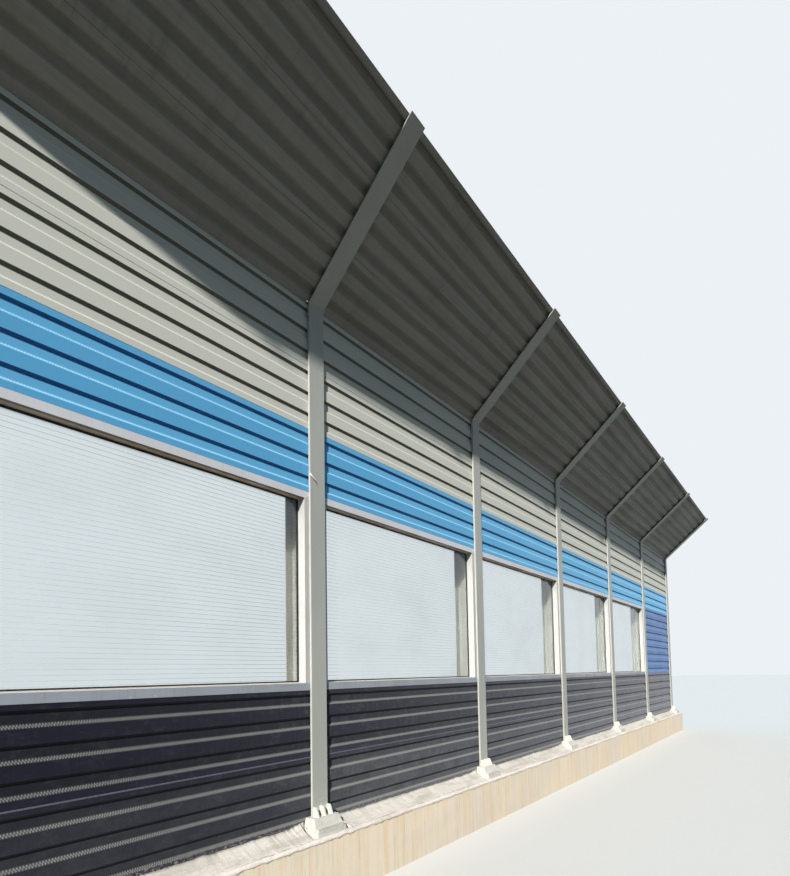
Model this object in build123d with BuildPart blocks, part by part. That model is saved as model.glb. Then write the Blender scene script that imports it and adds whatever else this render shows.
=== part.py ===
"""Highway noise barrier: six bays between cranked H-section posts on a concrete plinth.

X runs along the barrier, the road lies towards -Y, and Z is up.
The origin is on the underside of the plinth, on the centre line of the posts.
"""
import os
from math import cos, radians, sin, tan

from build123d import *

os.makedirs("parts", exist_ok=True)

# Row of bays
bay_pitch = 2500.0
window_bays = 5
solid_bays = 1
bay_count = window_bays + solid_bays

# Concrete plinth and post footings
plinth_height = 450.0
plinth_width = 640.0
plinth_overrun = 300.0
plinth_chamfer = 15.0
pad_height = 40.0
pad_margin = 4.0
pad_taper = 6.0
mortar_lip = 14.0
mortar_toe = 168.0
apron_end_gap = 35.0

# Rolled H-section of the posts and arms
post_depth = 300.0
post_width = 150.0
flange_thickness = 9.0
web_thickness = 6.5
root_radius = 13.0

# Base plates and their stiffening fins
plate_length = 272.0
plate_depth = 544.0
plate_thickness = 20.0
fin_height = 130.0
fin_top_reach = 33.0
fin_toe_height = 10.0
fin_thickness = 12.0
fin_edge_gap = 38.0
cap_height = 60.0
cap_top_reach = 66.0
cap_foot_reach = 94.0
cap_side_batter = 15.0

# Canopy
canopy_slope = 41.0
canopy_courses = 3
canopy_course_height = 450.0
canopy_edge_cut = 30.0
arm_tip_overrun = 35.0
knee_plate_thickness = 8.0
knee_plate_margin = 6.0

# Louvred panels
course_height = 500.0
window_height = 1500.0
panel_depth = 100.0
panel_setback = 25.0
panel_end_gap = 10.0
waves_per_panel = 3
wave_depth = 15.0
outer_flat_share = 0.24
slope_share = 0.084
inner_flat_share = 0.336
tongue_height = 12.0
tongue_width = 30.0
tongue_clearance = 1.0
seam_chamfer = 4.0
dark_courses = 2
grey_courses = 2

# Windows
jamb_face = 100.0
rail_face = 52.0
sill_fall = 8.0
sill_lip_wall = 3.0
sill_lip_drop = 10.0
glass_thickness = 15.0
glass_bite = 18.0
glass_edge_gap = 4.0
glass_back_cover = 5.0
gasket_thickness = 3.0
gasket_lip = 9.0

# Trims, seals and retaining angles
edge_trim_height = 30.0
edge_trim_wall = 3.0
seal_width = 40.0
wall_seal_inset = 1.0
canopy_seal_inset = 12.0
closure_gap = 1.0
angle_leg = 50.0
angle_wall = 5.0

# Places worked out from the sizes above
row_length = bay_count * bay_pitch
post_places = [n * bay_pitch - row_length / 2 for n in range(bay_count + 1)]
bay_places = [x + bay_pitch / 2 for x in post_places[:-1]]
window_places = bay_places[:window_bays]
solid_places = bay_places[window_bays:]
panel_length = bay_pitch - web_thickness - 2 * panel_end_gap
plate_top = plinth_height + pad_height + plate_thickness
window_bottom = plate_top + dark_courses * course_height
window_top = window_bottom + window_height
blue_top = window_top + course_height
knee_height = blue_top + grey_courses * course_height
front = -post_depth / 2
panel_front = front + panel_setback
panel_back = panel_front + panel_depth
pane_middle = panel_back - glass_back_cover - gasket_thickness - glass_thickness / 2
canopy_length = canopy_courses * canopy_course_height - canopy_edge_cut
mitre = radians((90 - canopy_slope) / 2)


# The canopy's own plane at a station along the row: x from its underside up, y along the arm
def canopy_plane(station):
    slope = radians(canopy_slope)
    return Plane(
        origin=(station, front, knee_height), x_dir=(0, sin(slope), cos(slope)), z_dir=(1, 0, 0)
    )


def wall_plane(station):
    return Plane(origin=(station, front, 0), x_dir=(0, 1, 0), z_dir=(1, 0, 0))


# Cross-section of one panel: louvred towards the road, tongue on top, groove below, cut shorter on top if asked
def panel_outline(bottom, height, cut):
    face = panel_setback
    back = panel_setback + panel_depth
    recess = face + wave_depth
    wave = height / waves_per_panel
    middle = face + panel_depth / 2
    half_tongue = tongue_width / 2
    half_groove = half_tongue + tongue_clearance
    outline = [(face, bottom)]
    for n in range(waves_per_panel):
        low = bottom + n * wave + (1 - outer_flat_share - 2 * slope_share - inner_flat_share) * wave
        outline.append((face, low))
        outline.append((recess, low + slope_share * wave))
        outline.append((recess, low + (slope_share + inner_flat_share) * wave))
        outline.append((face, low + (2 * slope_share + inner_flat_share) * wave))
    top = bottom + height - cut
    outline.append((face, top - seam_chamfer))
    outline.append((face + seam_chamfer, top))
    outline.append((middle - half_tongue, top))
    outline.append((middle - half_tongue + tongue_clearance, top + tongue_height))
    outline.append((middle + half_tongue - tongue_clearance, top + tongue_height))
    outline.append((middle + half_tongue, top))
    outline.append((back, top))
    outline.append((back, bottom))
    outline.append((middle + half_groove, bottom))
    outline.append((middle + half_groove, bottom + tongue_height + tongue_clearance))
    outline.append((middle - half_groove, bottom + tongue_height + tongue_clearance))
    outline.append((middle - half_groove, bottom))
    return outline


def panel_course(label, places, plane_at, bottom, height, cut=0.0):
    with BuildPart() as course:
        with BuildSketch(*[plane_at(x - panel_length / 2) for x in places]):
            with BuildLine():
                Polyline(panel_outline(bottom, height, cut), close=True)
            make_face()
        extrude(amount=panel_length)
    save(course, label)


def save(piece, label):
    piece.part.label = label
    export_step(piece.part, f"parts/{label}.step")


# Concrete plinth
with BuildPart() as plinth:
    with BuildSketch():
        Rectangle(row_length + 2 * plinth_overrun, plinth_width)
    extrude(amount=plinth_height)
    top_edges = plinth.edges().group_by(Axis.Z)[-1]
    chamfer(top_edges, plinth_chamfer)
save(plinth, "concrete_plinth")

# Grout pads under the base plates, wider at the foot
pad_spread = pad_height * tan(radians(pad_taper))
pad_length = plate_length + 2 * pad_margin + 2 * pad_spread
pad_depth = plate_depth + 2 * pad_margin + 2 * pad_spread
with BuildPart() as pads:
    with BuildSketch(Plane.XY.offset(plinth_height)):
        with Locations(*[(x, 0) for x in post_places]):
            Rectangle(pad_length, pad_depth)
    extrude(amount=pad_height, taper=pad_taper)
save(pads, "post_grout_pads")

# Mortar bed under each lowest panel, with an apron sloping away from each of its faces
bed_length = bay_pitch - pad_length
apron_length = bed_length - 2 * apron_end_gap
bed_height = plate_top - plinth_height
with BuildPart() as bedding:
    with BuildSketch(Plane.XY.offset(plinth_height)):
        with Locations(*[(x, panel_front + panel_depth / 2) for x in bay_places]):
            Rectangle(bed_length, panel_depth)
    extrude(amount=bed_height)
    for edge, way in ((panel_front, -1), (panel_back, 1)):
        with BuildSketch(*[Plane.YZ.offset(x - apron_length / 2) for x in bay_places]):
            with BuildLine():
                Polyline(
                    (edge, plinth_height),
                    (edge, plate_top + mortar_lip),
                    (edge + way * mortar_toe, plinth_height),
                    close=True,
                )
            make_face()
        extrude(amount=apron_length)
save(bedding, "bedding_mortar")

# Base plates
with BuildPart() as plates:
    with BuildSketch(Plane.XY.offset(plinth_height + pad_height)):
        with Locations(*[(x, 0) for x in post_places]):
            RectangleRounded(plate_length, plate_depth, plate_thickness / 2)
    extrude(amount=plate_thickness)
save(plates, "post_base_plates")

# Stiffening fins, three in front of each post and three behind it
fin_reach = (plate_depth - post_depth) / 2 - fin_edge_gap
fin_spacing = (post_width - fin_thickness) / 2
fin_steps = [step * fin_spacing - fin_thickness / 2 for step in (-1, 0, 1)]
with BuildPart() as fins:
    with BuildSketch(*[Plane.YZ.offset(x + step) for x in post_places for step in fin_steps]):
        with BuildLine():
            Polyline(
                (front, plate_top),
                (front, plate_top + fin_height),
                (front - fin_top_reach, plate_top + fin_height),
                (front - fin_reach, plate_top + fin_toe_height),
                (front - fin_reach, plate_top),
                close=True,
            )
        make_face()
        mirror(about=Plane.YZ)
    extrude(amount=fin_thickness)
save(fins, "base_plate_fins")

# Mortar caps over the base plates, cast round the feet of the fins
cap_half = plate_length / 2
with BuildPart() as caps:
    with BuildSketch(*[Plane.YZ.offset(x - cap_half) for x in post_places]):
        with BuildLine():
            Polyline(
                (panel_front, plate_top),
                (panel_front, plate_top + cap_height),
                (front - cap_top_reach, plate_top + cap_height),
                (front - cap_foot_reach, plate_top),
                close=True,
            )
        make_face()
        mirror(about=Plane.YZ)
    extrude(amount=plate_length)
    with BuildSketch(Plane.XZ):
        for x in post_places:
            with BuildLine():
                Polyline(
                    (x - cap_half, plate_top),
                    (x - cap_half + cap_side_batter, plate_top + cap_height),
                    (x + cap_half - cap_side_batter, plate_top + cap_height),
                    (x + cap_half, plate_top),
                    close=True,
                )
            make_face()
    extrude(amount=plate_depth / 2, both=True, mode=Mode.INTERSECT)
    with Locations(*[(x, 0, plate_top + cap_height / 2) for x in post_places]):
        Box(post_width, post_depth, cap_height, mode=Mode.SUBTRACT)
    add(fins.part, mode=Mode.SUBTRACT)
save(caps, "foot_caps")


# H-section, with its flanges towards the road and away from it
with BuildSketch() as h_shape:
    Rectangle(post_width, post_depth)
    with Locations((-(post_width + web_thickness) / 2, 0), ((post_width + web_thickness) / 2, 0)):
        Rectangle(post_width, post_depth - 2 * flange_thickness, mode=Mode.SUBTRACT)
    fillet([v for v in h_shape.vertices() if abs(v.X) < web_thickness], root_radius)
h_section = h_shape.sketch


# Plane of the mitre through the inner corner of the knee
def mitre_plane(shift):
    flat = Plane(origin=(0, front, knee_height), x_dir=(1, 0, 0), z_dir=(0, -sin(mitre), cos(mitre)))
    return flat.offset(shift)


# Posts, cut along the mitre at the knee
post_reach = knee_height + post_depth - plate_top
for number, x in enumerate(post_places, start=1):
    with BuildPart() as post:
        with BuildSketch(Plane((x, 0, plate_top))):
            add(h_section)
        extrude(amount=post_reach)
        split(bisect_by=mitre_plane(-knee_plate_thickness / 2), keep=Keep.BOTTOM)
    save(post, f"post_{number}")

# Canopy arms, of the same section, from the mitre to the tip
for number, x in enumerate(post_places, start=1):
    along = canopy_plane(x)
    start = along.from_local_coords(Vector(post_depth / 2, -post_depth))
    with BuildPart() as arm:
        with BuildSketch(Plane(origin=start, x_dir=(1, 0, 0), z_dir=along.y_dir)):
            add(h_section)
        extrude(amount=post_depth + canopy_length + arm_tip_overrun)
        split(bisect_by=mitre_plane(knee_plate_thickness / 2), keep=Keep.TOP)
    save(arm, f"canopy_arm_{number}")

# Plates welded in the mitres between posts and arms
mitre_length = post_depth / cos(mitre)
with BuildPart() as knee_plates:
    with BuildSketch(mitre_plane(-knee_plate_thickness / 2)):
        with Locations(*[(x, mitre_length / 2) for x in post_places]):
            Rectangle(post_width + 2 * knee_plate_margin, mitre_length + 2 * knee_plate_margin)
    extrude(amount=knee_plate_thickness)
save(knee_plates, "knee_plates")

# Louvred wall panels
panel_course("dark_panels_lower", bay_places, wall_plane, plate_top, course_height)
panel_course("dark_panels_upper", bay_places, wall_plane, plate_top + course_height, course_height)
for number, name in enumerate(("lower", "middle", "upper")):
    bottom = window_bottom + number * window_height / 3
    panel_course(f"solid_bay_panel_{name}", solid_places, wall_plane, bottom, window_height / 3)
panel_course("light_blue_panels", bay_places, wall_plane, window_top, course_height)
panel_course("grey_panels_lower", bay_places, wall_plane, blue_top, course_height)
panel_course("grey_panels_upper", bay_places, wall_plane, blue_top + course_height, course_height)

# Louvred canopy panels, their louvres facing down
for number, (name, cut) in enumerate((("inner", 0.0), ("middle", 0.0), ("outer", canopy_edge_cut))):
    start = number * canopy_course_height
    panel_course(f"canopy_panels_{name}", bay_places, canopy_plane, start, canopy_course_height, cut)

# Window frames: four bars of one depth, mitred, with a pocket for the glass
panel_middle = (panel_front + panel_back) / 2
opening_length = panel_length - 2 * jamb_face
opening_height = window_height - 2 * rail_face
window_middle = (window_bottom + window_top) / 2
pocket_depth = glass_thickness + 2 * gasket_thickness
half_length = panel_length / 2
half_height = window_height / 2
groove_width = tongue_width + 2 * tongue_clearance
groove_height = tongue_height + tongue_clearance


# Upright plane facing the road, in the middle of a window
def road_face(x, depth):
    return Plane(origin=(x, depth, window_middle), x_dir=(1, 0, 0), z_dir=(0, -1, 0))


# Corners of a mitred bar seen from the road; side is -1 or 1, and upright bars are the jambs
def bar_corners(length, height, inner_length, inner_height, side, upright):
    if upright:
        return [
            (side * length / 2, -height / 2),
            (side * length / 2, height / 2),
            (side * inner_length / 2, inner_height / 2),
            (side * inner_length / 2, -inner_height / 2),
        ]
    return [
        (-length / 2, side * height / 2),
        (length / 2, side * height / 2),
        (inner_length / 2, side * inner_height / 2),
        (-inner_length / 2, side * inner_height / 2),
    ]


def frame_bars(label, sides, upright):
    with BuildPart() as bars:
        for x in window_places:
            for side in sides:
                corners = bar_corners(
                    panel_length, window_height, opening_length, opening_height, side, upright
                )
                with BuildSketch(road_face(x, panel_front)):
                    with BuildLine():
                        Polyline(corners, close=True)
                    make_face()
                extrude(amount=-panel_depth)
        with Locations(*[(x, pane_middle, window_middle) for x in window_places]):
            Box(
                opening_length + 2 * (glass_bite + glass_edge_gap),
                pocket_depth,
                opening_height + 2 * (glass_bite + glass_edge_gap),
                mode=Mode.SUBTRACT,
            )
        with Locations(*[(x, panel_middle, window_bottom + groove_height / 2) for x in window_places]):
            Box(panel_length, groove_width, groove_height, mode=Mode.SUBTRACT)
        if sides == (-1,) and not upright:
            sill_top = window_bottom + rail_face
            glazing_front = pane_middle - pocket_depth / 2
            with BuildSketch(*[Plane.YZ.offset(x - opening_length / 2) for x in window_places]):
                with BuildLine():
                    Polyline(
                        (panel_front, sill_top - sill_fall),
                        (panel_front, sill_top),
                        (glazing_front, sill_top),
                        close=True,
                    )
                make_face()
            extrude(amount=opening_length, mode=Mode.SUBTRACT)
            lip_height = rail_face - sill_fall + sill_lip_drop
            lip_middle = window_bottom - sill_lip_drop + lip_height / 2
            with Locations(*[(x, panel_front - sill_lip_wall / 2, lip_middle) for x in window_places]):
                Box(bay_pitch - post_width - 2 * closure_gap, sill_lip_wall, lip_height)
        if sides == (1,) and not upright:
            with Locations(*[(x, panel_middle, window_top + tongue_height / 2) for x in window_places]):
                Box(panel_length, tongue_width, tongue_height)
    save(bars, label)


frame_bars("window_sills", (-1,), False)
frame_bars("window_heads", (1,), False)
frame_bars("window_jambs", (-1, 1), True)

# Glass panes
with BuildPart() as panes:
    with Locations(*[(x, pane_middle, window_middle) for x in window_places]):
        Box(opening_length + 2 * glass_bite, glass_thickness, opening_height + 2 * glass_bite)
save(panes, "glass_panes")


# Glazing gaskets on both sides of each pane, from the pocket to a lip over the glass
def gasket_bars(label, upright):
    with BuildPart() as bars:
        for x in window_places:
            for step in (-glass_thickness / 2 - gasket_thickness, glass_thickness / 2):
                for side in (-1, 1):
                    corners = bar_corners(
                        opening_length + 2 * glass_bite,
                        opening_height + 2 * glass_bite,
                        opening_length - 2 * gasket_lip,
                        opening_height - 2 * gasket_lip,
                        side,
                        upright,
                    )
                    with BuildSketch(road_face(x, pane_middle + step)):
                        with BuildLine():
                            Polyline(corners, close=True)
                        make_face()
                    extrude(amount=-gasket_thickness)
    save(bars, label)


gasket_bars("gasket_rails", False)
gasket_bars("gasket_stiles", True)

# Knee closures between the top grey panels and the first canopy panels
face = panel_setback
back = face + panel_depth
middle = face + panel_depth / 2
slope = radians(canopy_slope)
knee_plate_edge = post_width + 2 * knee_plate_margin
closure_length = bay_pitch - knee_plate_edge - 2 * closure_gap
half_groove = tongue_width / 2 + tongue_clearance
closure_starts = [(x - closure_length / 2, front, knee_height) for x in bay_places]
with BuildPart() as closures:
    with BuildSketch(*[Plane(start, x_dir=(0, 1, 0), z_dir=(1, 0, 0)) for start in closure_starts]):
        with BuildLine():
            Polyline(
                (face, 0),
                (face, face * tan(mitre)),
                (face * sin(slope), face * cos(slope)),
                (back * sin(slope), back * cos(slope)),
                (back, back * tan(mitre)),
                (back, 0),
                (middle + half_groove, 0),
                (middle + half_groove, groove_height),
                (middle - half_groove, groove_height),
                (middle - half_groove, 0),
                close=True,
            )
        make_face()
    extrude(amount=closure_length)
save(closures, "knee_closures")

# Folded edge trims over the outer edge of the canopy
trim_top = canopy_length + tongue_height + tongue_clearance
with BuildPart() as trims:
    with BuildSketch(*[canopy_plane(x - panel_length / 2) for x in bay_places]):
        with BuildLine():
            Polyline(
                (face - edge_trim_wall, canopy_length - edge_trim_height),
                (face - edge_trim_wall, trim_top + edge_trim_wall),
                (back + edge_trim_wall, trim_top + edge_trim_wall),
                (back + edge_trim_wall, canopy_length - edge_trim_height),
                (back, canopy_length - edge_trim_height),
                (back, trim_top),
                (face, trim_top),
                (face, canopy_length - edge_trim_height),
                close=True,
            )
        make_face()
    extrude(amount=panel_length)
save(trims, "canopy_edge_trims")


# Rubber seals between the panels and the road-side flanges, one on each side of each post
def seals(label, plane_at, low, high, inset):
    reach = post_width / 2 - inset
    starts = [x + reach - seal_width for x in post_places[:-1]] + [x - reach for x in post_places[1:]]
    with BuildPart() as strips:
        with BuildSketch(*[plane_at(start) for start in starts]):
            with Locations((flange_thickness, low)):
                Rectangle(panel_setback - flange_thickness, high - low, align=(Align.MIN, Align.MIN))
        extrude(amount=seal_width)
    save(strips, label)


seals("wall_seals", wall_plane, plate_top, knee_height - knee_plate_thickness, wall_seal_inset)
canopy_seal_end = canopy_length - edge_trim_height
seals("canopy_seals", canopy_plane, knee_plate_thickness, canopy_seal_end, canopy_seal_inset)


# Steel angles on the webs that hold the panels from behind
angle_outline = [
    (0, 0),
    (angle_leg, 0),
    (angle_leg, angle_wall),
    (angle_wall, angle_wall),
    (angle_wall, angle_leg),
    (0, angle_leg),
]


def retaining_angles(label, plane_at, low, high):
    with BuildPart() as angles:
        for side, places in ((1, post_places[:-1]), (-1, post_places[1:])):
            for x in places:
                along = plane_at(x + side * web_thickness / 2)
                foot = along.from_local_coords(Vector(back, low))
                with BuildSketch(Plane(foot, x_dir=(1, 0, 0), z_dir=along.y_dir)):
                    with BuildLine():
                        Polyline([(side * a, b) for a, b in angle_outline], close=True)
                    make_face()
                extrude(amount=high - low)
    save(angles, label)


retaining_angles("wall_retaining_angles", wall_plane, plate_top, knee_height)
retaining_angles("canopy_retaining_angles", canopy_plane, 0, canopy_length - edge_trim_height)
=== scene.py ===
"""Looks of the highway noise barrier: finishes, mortar, sealant, welds, threads, light and camera."""
import math

import bmesh
import bpy
from mathutils import Matrix, Vector, noise


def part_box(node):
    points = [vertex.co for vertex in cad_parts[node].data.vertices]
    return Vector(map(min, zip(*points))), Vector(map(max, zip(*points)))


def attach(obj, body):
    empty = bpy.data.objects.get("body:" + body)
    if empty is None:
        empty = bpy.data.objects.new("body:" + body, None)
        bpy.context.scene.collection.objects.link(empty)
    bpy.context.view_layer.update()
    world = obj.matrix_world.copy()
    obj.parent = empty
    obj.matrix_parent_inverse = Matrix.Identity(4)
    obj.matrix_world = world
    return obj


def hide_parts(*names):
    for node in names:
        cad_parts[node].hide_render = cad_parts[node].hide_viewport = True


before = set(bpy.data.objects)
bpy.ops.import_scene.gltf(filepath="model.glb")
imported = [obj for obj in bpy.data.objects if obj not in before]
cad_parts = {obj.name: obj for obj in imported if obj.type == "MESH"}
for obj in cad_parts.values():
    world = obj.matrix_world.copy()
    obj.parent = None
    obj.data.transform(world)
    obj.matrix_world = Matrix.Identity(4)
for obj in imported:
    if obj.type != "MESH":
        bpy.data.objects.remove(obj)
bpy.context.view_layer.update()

# Sizes of the row, with lengths in metres
BAY_PITCH = 2.5
BAY_COUNT = 6
WINDOW_BAYS = 5
PANEL_LENGTH = 2.4735
COURSE_HEIGHT = 0.5
POST_WIDTH = 0.15
POST_DEPTH = 0.3
FLANGE_THICKNESS = 0.009
PANEL_SETBACK = 0.025
FIN_THICKNESS = 0.012
JAMB_FACE = 0.1
GLASS_BITE = 0.018
CANOPY_SLOPE = math.radians(41)
KNEE_PLATE = 0.008

# Waves of the louvred panels, and places on them as shares of one wave from its foot up
WALL_WAVE = COURSE_HEIGHT / 3
CANOPY_WAVE = 0.15
WAVE_DEPTH = 0.015
SLOPE_START = 0.256
INNER_START = 0.34
SHADE_START = 0.676
SHADE_END = 0.76

# Heights and depths read from the frame
PLINTH_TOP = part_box("concrete_plinth")[1].z
PLATE_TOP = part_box("post_base_plates")[1].z
POST_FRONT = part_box("post_1")[0].y
PANEL_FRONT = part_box("dark_panels_lower")[0].y
PANEL_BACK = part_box("dark_panels_lower")[1].y
KNEE_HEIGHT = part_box("knee_closures")[0].z
OPENING_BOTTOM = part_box("window_sills")[1].z
OPENING_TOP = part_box("window_heads")[0].z
PANE_MIDDLE = (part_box("glass_panes")[0].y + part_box("glass_panes")[1].y) / 2

# Places along the row, and the canopy's line, which rises from the knee towards the road
POST_PLACES = [(n - BAY_COUNT / 2) * BAY_PITCH for n in range(BAY_COUNT + 1)]
BAY_PLACES = [x + BAY_PITCH / 2 for x in POST_PLACES[:-1]]
WINDOW_PLACES = BAY_PLACES[:WINDOW_BAYS]
CANOPY_START = Vector((0, POST_FRONT, KNEE_HEIGHT))
CANOPY_UPHILL = Vector((0, -math.cos(CANOPY_SLOPE), math.sin(CANOPY_SLOPE)))


def srgb(red, green, blue):
    """A colour as the eye names it, 0 to 255, in linear values."""
    values = []
    for c in (red / 255, green / 255, blue / 255):
        values.append(c / 12.92 if c <= 0.04045 else ((c + 0.055) / 1.055) ** 2.4)
    return (*values, 1.0)


class Finish:
    """A material being made: its shader, and short calls for the nodes that shape it."""

    def __init__(self, name, roughness=0.5, gloss=0.5):
        self.material = bpy.data.materials.new(name)
        self.material.use_nodes = True
        self.nodes = self.material.node_tree.nodes
        self.links = self.material.node_tree.links
        self.shader = self.nodes["Principled BSDF"]
        self.shader.inputs["Roughness"].default_value = roughness
        self.shader.inputs["Specular IOR Level"].default_value = gloss
        coordinates = self.nodes.new("ShaderNodeTexCoord")
        self.place = coordinates.outputs["Object"]
        self.facing = self.split(coordinates.outputs["Normal"])
        self.x, self.y, self.z = self.split(self.place)

    def put(self, value, socket):
        """Links a socket's value, or sets a plain one."""
        if isinstance(value, bpy.types.NodeSocket):
            self.links.new(value, socket)
        else:
            socket.default_value = value

    def split(self, vector):
        node = self.nodes.new("ShaderNodeSeparateXYZ")
        self.links.new(vector, node.inputs[0])
        return node.outputs[0], node.outputs[1], node.outputs[2]

    def math(self, operation, first, second=0.0, clamp=False):
        node = self.nodes.new("ShaderNodeMath")
        node.operation = operation
        node.use_clamp = clamp
        self.put(first, node.inputs[0])
        self.put(second, node.inputs[1])
        return node.outputs[0]

    def times(self, *values):
        result = values[0]
        for value in values[1:]:
            result = self.math("MULTIPLY", result, value)
        return result

    def plus(self, first, second):
        return self.math("ADD", first, second)

    def minus(self, first, second):
        return self.math("SUBTRACT", first, second)

    def either(self, first, second):
        """Two shares together, 1 at most."""
        return self.math("ADD", first, second, clamp=True)

    def rest(self, share):
        """What a share leaves of 1."""
        return self.minus(1.0, share)

    def repeat(self, value, length, shift=0.0):
        """Where a value lies in a pattern that repeats, from 0 to 1."""
        return self.math("FRACT", self.plus(self.math("DIVIDE", value, length), shift))

    def step(self, value, start, end):
        """0 at start and 1 at end, smooth between them."""
        node = self.nodes.new("ShaderNodeMapRange")
        node.interpolation_type = "SMOOTHSTEP"
        self.put(value, node.inputs["Value"])
        node.inputs["From Min"].default_value = start
        node.inputs["From Max"].default_value = end
        return node.outputs["Result"]

    def span(self, value, low, high):
        """Spreads a value from 0 to 1 over the span from low to high."""
        node = self.nodes.new("ShaderNodeMapRange")
        self.put(value, node.inputs["Value"])
        node.inputs["To Min"].default_value = low
        node.inputs["To Max"].default_value = high
        return node.outputs["Result"]

    def along(self, direction, origin):
        """How far a point lies from origin in a direction."""
        away = self.nodes.new("ShaderNodeVectorMath")
        away.operation = "SUBTRACT"
        self.links.new(self.place, away.inputs[0])
        away.inputs[1].default_value = origin
        dot = self.nodes.new("ShaderNodeVectorMath")
        dot.operation = "DOT_PRODUCT"
        self.links.new(away.outputs[0], dot.inputs[0])
        dot.inputs[1].default_value = direction
        return dot.outputs["Value"]

    def noise(self, scale, detail=4, roughness=0.55, offset=0.0):
        """Noise with its own scale along each axis, in cells a metre."""
        node = self.nodes.new("ShaderNodeVectorMath")
        node.operation = "MULTIPLY_ADD"
        self.links.new(self.place, node.inputs[0])
        node.inputs[1].default_value = scale
        node.inputs[2].default_value = (offset, offset * 1.7, offset * 0.6)
        cloud = self.nodes.new("ShaderNodeTexNoise")
        self.links.new(node.outputs[0], cloud.inputs["Vector"])
        cloud.inputs["Scale"].default_value = 1.0
        cloud.inputs["Detail"].default_value = detail
        cloud.inputs["Roughness"].default_value = roughness
        return cloud.outputs["Fac"]

    def patches(self, scale, start, end, **kind):
        """Noise cut into patches: 0 where it lies below start and 1 above end."""
        return self.step(self.noise(scale, **kind), start, end)

    def mix(self, share, low, high):
        node = self.nodes.new("ShaderNodeMix")
        node.data_type = "RGBA"
        self.put(share, node.inputs[0])
        self.put(low, node.inputs[6])
        self.put(high, node.inputs[7])
        return node.outputs[2]

    def colour(self, value):
        self.put(value, self.shader.inputs["Base Color"])

    def rough(self, value):
        self.put(value, self.shader.inputs["Roughness"])

    def bump(self, height, distance, strength):
        node = self.nodes.new("ShaderNodeBump")
        node.inputs["Strength"].default_value = strength
        node.inputs["Distance"].default_value = distance
        self.put(height, node.inputs["Height"])
        self.links.new(node.outputs[0], self.shader.inputs["Normal"])


# Paint on steel, with faint runs down it, splashes at the foot, a little orange peel and painted
# shade on the faces behind the panels
FADED_HEIGHT = 1.6
SPLASHED_POST = (0.32, 0.06)
REAR_EDGE = 0.004


def painted_steel(name, paint, soiled, pale, splash):
    splashed = srgb(206, 202, 188)
    rear_shade = srgb(104, 101, 92)
    finish = Finish(name, gloss=0.35)
    clouds = finish.patches((3, 3, 1.2), 0.35, 0.7)
    runs = finish.patches((46, 46, 0.9), 0.52, 0.75, detail=3, offset=4)
    spots = finish.patches((75, 75, 55), 0.5, 0.62, roughness=0.65, offset=6)
    low = finish.step(finish.z, PLATE_TOP + FADED_HEIGHT, PLATE_TOP)
    foot = finish.step(finish.z, *(PLATE_TOP + height for height in SPLASHED_POST))
    behind = finish.step(finish.y, PANEL_BACK - REAR_EDGE, PANEL_BACK)
    faded = finish.either(finish.times(clouds, 0.35), finish.times(low, 0.5))
    colour = finish.mix(faded, paint, pale)
    colour = finish.mix(finish.times(runs, 0.3), colour, soiled)
    colour = finish.mix(finish.times(foot, spots, splash), colour, splashed)
    # Painted shade: faces behind the panels' back are darkened, standing in for the shade there
    colour = finish.mix(finish.times(behind, finish.span(clouds, 0.45, 0.8)), colour, rear_shade)
    finish.colour(colour)
    finish.rough(finish.span(finish.noise((20, 20, 8)), 0.38, 0.58))
    finish.bump(finish.noise((240, 240, 240), detail=2), 0.0006, 0.5)
    return finish.material


# Bands of a louvre with their soft edges, as shares of a wave, and the holes along its ridge
RIDGE_RISE = (SLOPE_START - 0.04, SLOPE_START + 0.01)
RIDGE_FALL = (INNER_START + 0.05, INNER_START)
FLAT_RISE = (INNER_START, INNER_START + 0.06)
FLAT_FALL = (SHADE_START, SHADE_START - 0.02)
UNDER_RISE = (SHADE_START - 0.05, SHADE_START)
UNDER_FALL = (SHADE_END + 0.01, SHADE_END - 0.01)
HOLE_PITCH = 0.0135
HOLE_ROW_CHANGE = (0.296, 0.304)
HOLE_EDGE = (0.14, 0.36)

# Joints and hems of the courses, as shares of a course from its foot up
JOINT_BELOW = (0.990, 0.996)
JOINT_ABOVE = (0.010, 0.004)
HEM_RISE = (0.974, 0.981)
HEM_FALL = (0.999, 0.992)

# Where dust sets in along the row, is thickest and thins out, and how high mortar has splashed
SECOND_POST = POST_PLACES[1]
NEAR_FADE = (SECOND_POST - 1.4, SECOND_POST + 0.4)
DUST_RISE = (SECOND_POST - 0.6, SECOND_POST + 0.4)
DUST_FALL = (SECOND_POST + 0.7, SECOND_POST + 3.6)
DUST_EDGE = 0.10
SPLASHED_SHEET = (0.06, 0.012)


def louvre_bands(finish, phase, front):
    """Shares of a louvre's ridge, its recessed flat and its shaded underside."""
    ridge = finish.times(front, finish.step(phase, *RIDGE_RISE), finish.step(phase, *RIDGE_FALL))
    flat = finish.times(front, finish.step(phase, *FLAT_RISE), finish.step(phase, *FLAT_FALL))
    under = finish.times(front, finish.step(phase, *UNDER_RISE), finish.step(phase, *UNDER_FALL))
    return ridge, flat, under


def perforation(finish, phase):
    """Holes in two staggered rows along each ridge: 0 in a hole and 1 on the sheet beside it."""
    shift = finish.span(finish.step(phase, *HOLE_ROW_CHANGE), 0.0, 0.5)
    pitch = finish.repeat(finish.x, HOLE_PITCH, shift)
    return finish.step(finish.math("ABSOLUTE", finish.minus(pitch, 0.5)), *HOLE_EDGE)


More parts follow.
